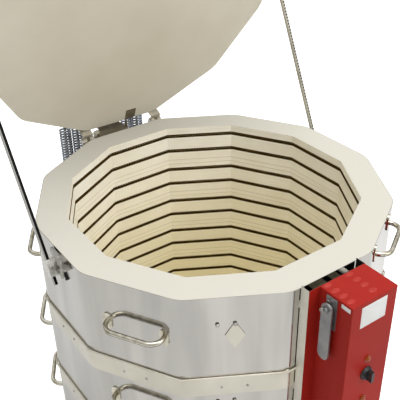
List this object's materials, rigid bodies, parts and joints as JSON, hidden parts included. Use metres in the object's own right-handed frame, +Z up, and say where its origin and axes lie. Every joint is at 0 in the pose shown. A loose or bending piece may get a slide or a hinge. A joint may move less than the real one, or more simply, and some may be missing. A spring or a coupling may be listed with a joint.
{
  "type": "top-loading ceramic kiln",
  "caption": "Many-sided brick kiln in stacked steel-jacketed rings, with a spring-balanced lid standing open on sliding stays and a switch box on its side.",
  "frame": {"origin": "on the floor, under the middle of the whole object's outline with its lid open", "axes": "+Z up; the switch box faces -Y and the lid's hinge is at +Y"},
  "size_m": [0.9368, 1.2046, 1.8493],
  "materials": {
    "black_plastic": "satin",
    "brown_steel": "satin",
    "chrome_bar": "polished",
    "chrome_rod": "polished",
    "dark_steel": "satin",
    "element_wire": "matte",
    "foot_plastic": "matte",
    "grey_steel": "satin",
    "insulating_brick": "matte",
    "insulating_slab": "matte",
    "lamp_lens": "gloss",
    "polished_steel": "polished",
    "red_enamel": "satin",
    "spring_steel": "satin",
    "stand_paint": "satin",
    "strap_steel": "satin",
    "white_ceramic": "satin",
    "white_plastic": "satin",
    "zinc_steel": "satin"
  },
  "bodies": {
    "kiln": {"top_bricks": "insulating_brick", "top_element": "element_wire", "top_jacket": "polished_steel", "top_handles": "chrome_bar", "middle_bricks": "insulating_brick", "middle_element": "element_wire", "middle_jacket": "polished_steel", "middle_handles": "chrome_bar", "bottom_bricks": "insulating_brick", "bottom_element": "element_wire", "bottom_jacket": "polished_steel", "bottom_handles": "chrome_bar", "locating_bands": "polished_steel", "floor_slab": "insulating_slab", "floor_pan": "polished_steel", "stand_frame": "stand_paint", "stand_legs": "stand_paint", "stand_feet": "foot_plastic", "peephole_screws": "zinc_steel", "hinge_bracket": "brown_steel", "hinge_pins": "zinc_steel", "spring_anchor": "brown_steel", "stay_brackets": "zinc_steel", "heat_shield": "grey_steel", "box_back_plate": "red_enamel", "box_hood": "red_enamel", "box_hangers": "brown_steel", "box_screws": "zinc_steel", "heat_switches": "black_plastic", "pilot_lamps": "lamp_lens", "isolator_plate": "dark_steel", "isolator_switch": "black_plastic", "terminal_insulators": "white_ceramic", "element_terminals": "zinc_steel", "terminal_block": "white_plastic", "inlet_gland": "black_plastic"},
    "left_clamp": {"left_stay_block": "zinc_steel"},
    "left_stay": {"left_stay_rod": "chrome_rod"},
    "left_wing": {"left_wing_screw": "zinc_steel"},
    "right_clamp": {"right_stay_block": "zinc_steel"},
    "right_stay": {"right_stay_rod": "chrome_rod"},
    "right_wing": {"right_wing_screw": "zinc_steel"},
    "isolator": {"isolator_lever": "grey_steel"},
    "top_heat_knob": {"top_knob": "black_plastic"},
    "top_peephole": {"top_peephole_cover": "zinc_steel"},
    "middle_heat_knob": {"middle_knob": "black_plastic"},
    "middle_peephole": {"middle_peephole_cover": "zinc_steel"},
    "bottom_heat_knob": {"bottom_knob": "black_plastic"},
    "bottom_peephole": {"bottom_peephole_cover": "zinc_steel"},
    "lid": {"lid_slab": "insulating_slab", "lid_band": "polished_steel", "lid_handle": "chrome_bar", "lid_hinge_straps": "strap_steel", "lid_lever_plates": "brown_steel", "spring_yoke": "spring_steel", "lid_stay_studs": "zinc_steel", "lid_edge_clip": "brown_steel"},
    "spring_set": {"springs": "spring_steel"},
    "spring_pulls": {"spring_eye_bolts": "spring_steel"}
  },
  "joints": [
    {"name": "lid_hinge", "type": "hinge", "parent": "kiln", "child": "lid", "pos_m": [0, 0.44828, 0.948], "axis": [1, 0, 0], "range_deg": [0, 68], "stiffness_Nm_per_rad": 110, "springref_deg": -25.78},
    {"name": "spring_swing", "type": "hinge", "parent": "kiln", "child": "spring_set", "pos_m": [0, 0.58328, 0.483], "axis": [1, 0, 0], "range_deg": [0, 9.82], "deforming": ["springs"]},
    {"name": "spring_pull", "type": "hinge", "parent": "lid", "child": "spring_pulls", "pos_m": [0, 0.58332, 0.96794], "axis": [1, 0, 0], "range_deg": [-58.28, 0]},
    {"name": "left_stay_swivel", "type": "hinge", "parent": "kiln", "child": "left_clamp", "pos_m": [-0.4581, -0.00372, 0.903], "axis": [1, 0, 0], "range_deg": [0, 55.98]},
    {"name": "left_stay_slide", "type": "slide", "parent": "left_clamp", "child": "left_stay", "axis": [0, -0.5132, -0.8583], "range_m": [0, 0.5056]},
    {"name": "left_wing_turn", "type": "hinge", "parent": "left_clamp", "child": "left_wing", "pos_m": [-0.4581, -0.00372, 0.903], "axis": [0, -0.8583, 0.5132], "continuous": true},
    {"name": "right_stay_swivel", "type": "hinge", "parent": "kiln", "child": "right_clamp", "pos_m": [0.4581, 0.07428, 0.903], "axis": [1, 0, 0], "range_deg": [0, 75.84]},
    {"name": "right_stay_slide", "type": "slide", "parent": "right_clamp", "child": "right_stay", "axis": [0, -0.4103, -0.912], "range_m": [0, 0.4198]},
    {"name": "right_wing_turn", "type": "hinge", "parent": "right_clamp", "child": "right_wing", "pos_m": [0.4581, 0.07428, 0.903], "axis": [0, -0.912, 0.4103], "continuous": true},
    {"name": "isolator_turn", "type": "hinge", "parent": "kiln", "child": "isolator", "pos_m": [-0.078, -0.52582, 0.941], "axis": [-1, 0, 0], "range_deg": [0, 90]},
    {"name": "top_heat_turn", "type": "hinge", "parent": "kiln", "child": "top_heat_knob", "pos_m": [0, -0.58082, 0.761], "axis": [0, -1, 0], "range_deg": [-270, 0]},
    {"name": "top_peephole_swing", "type": "hinge", "parent": "kiln", "child": "top_peephole", "pos_m": [-0.22135, -0.40311, 0.891], "axis": [-0.5, -0.866, 0], "range_deg": [-40, 85]},
    {"name": "middle_heat_turn", "type": "hinge", "parent": "kiln", "child": "middle_heat_knob", "pos_m": [0, -0.58082, 0.641], "axis": [0, -1, 0], "range_deg": [-270, 0]},
    {"name": "middle_peephole_swing", "type": "hinge", "parent": "kiln", "child": "middle_peephole", "pos_m": [-0.22135, -0.40311, 0.6624], "axis": [-0.5, -0.866, 0], "range_deg": [-40, 85]},
    {"name": "bottom_heat_turn", "type": "hinge", "parent": "kiln", "child": "bottom_heat_knob", "pos_m": [0, -0.58082, 0.521], "axis": [0, -1, 0], "range_deg": [-270, 0]},
    {"name": "bottom_peephole_swing", "type": "hinge", "parent": "kiln", "child": "bottom_peephole", "pos_m": [-0.22135, -0.40311, 0.4338], "axis": [-0.5, -0.866, 0], "range_deg": [-40, 85]}
  ],
  "couplings": [
    {"joint": "spring_swing", "follows": "lid_hinge", "ratio": 0.14372},
    {"joint": "spring_pull", "follows": "lid_hinge", "ratio": -0.85628},
    {"joint": "left_stay_swivel", "follows": "lid_hinge", "ratio": 0.82253},
    {"joint": "left_stay_slide", "follows": "lid_hinge", "m_per_rad": 0.42559},
    {"joint": "right_stay_swivel", "follows": "lid_hinge", "ratio": 1.1145},
    {"joint": "right_stay_slide", "follows": "lid_hinge", "m_per_rad": 0.35329}
  ]
}
